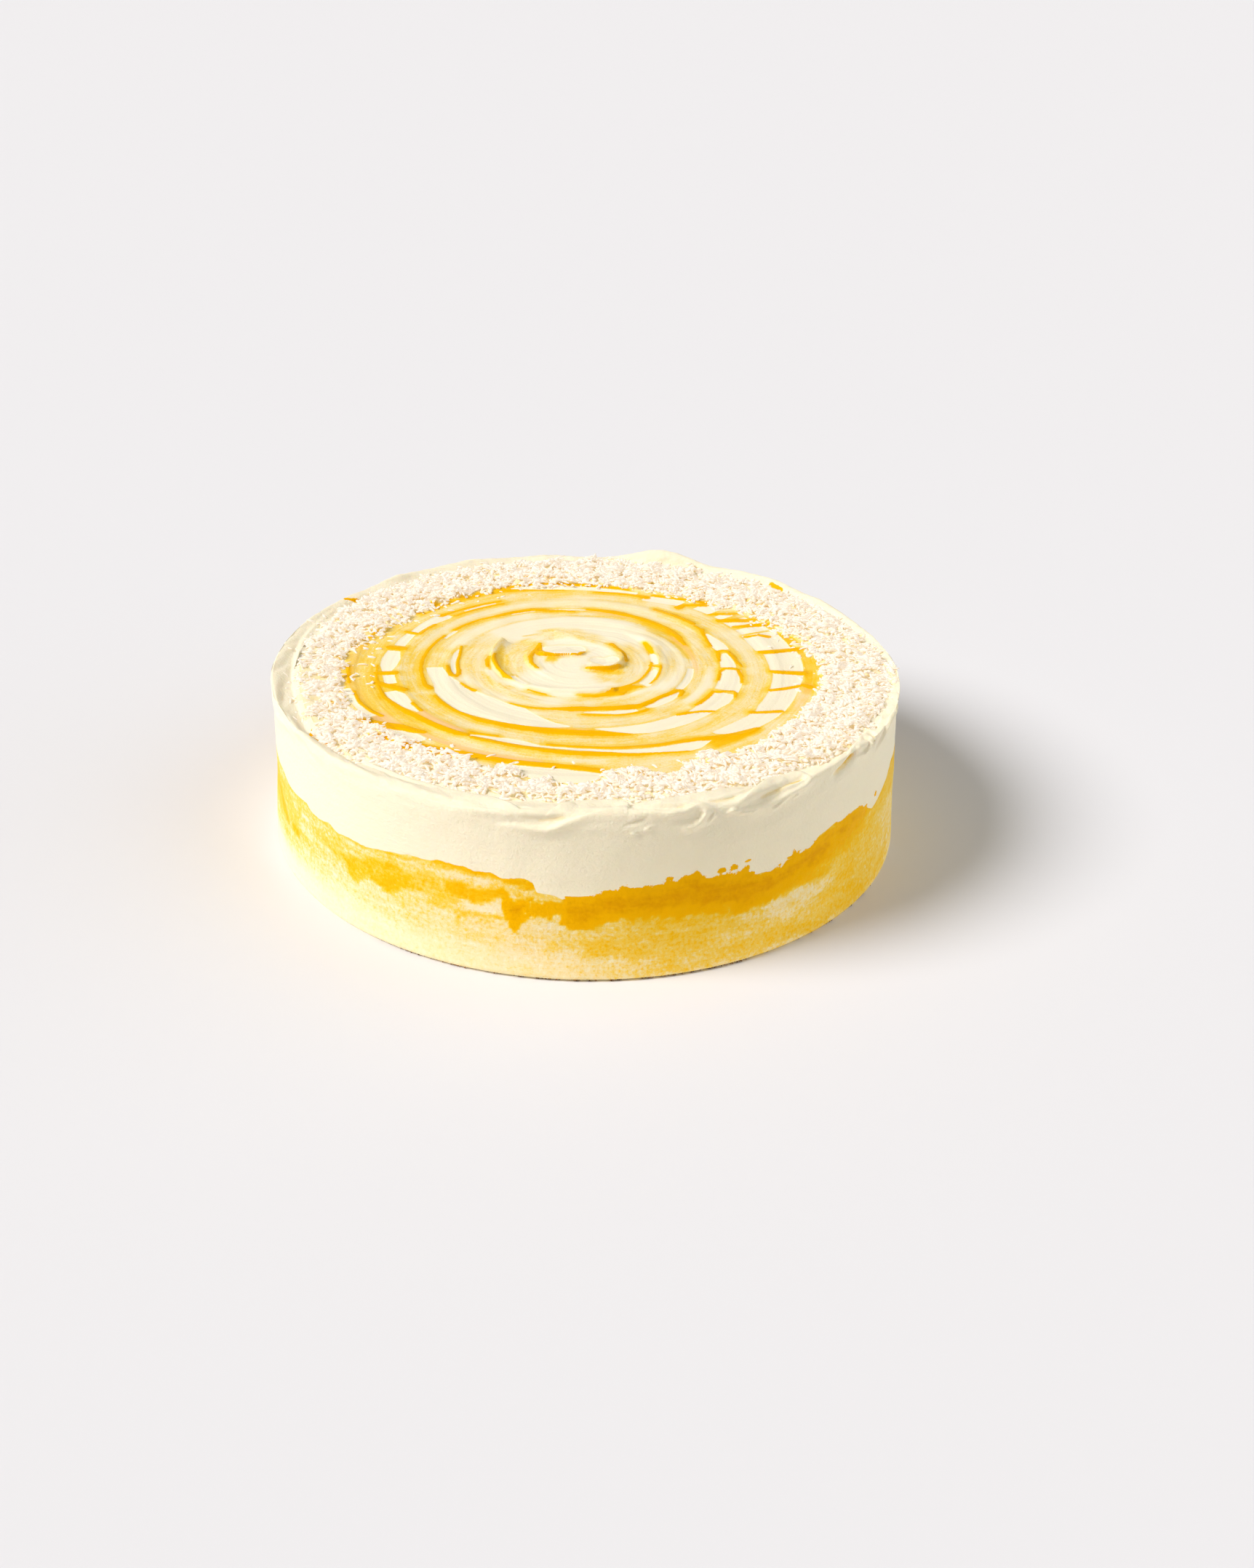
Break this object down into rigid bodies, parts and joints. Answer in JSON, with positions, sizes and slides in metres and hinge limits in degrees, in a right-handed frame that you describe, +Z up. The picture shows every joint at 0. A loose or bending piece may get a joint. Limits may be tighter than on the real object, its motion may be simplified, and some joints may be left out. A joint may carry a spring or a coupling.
{
  "type": "mango cream cake",
  "caption": "Round uncut cream cake with a swirled fruit puree top, a raised cream rim, a lumpy ring of shredded coconut and a puree band round its side.",
  "frame": {"origin": "centre of the underside, where the cake rests", "axes": "+Z up through the cake, -Y towards the front that the picture shows, +X to the right"},
  "size_m": [0.2644, 0.2644, 0.0735],
  "materials": {
    "cream": "soft satin whipped cream, with mango puree and coconut on it"
  },
  "bodies": {
    "root": {"cake": "cream"}
  },
  "joints": []
}
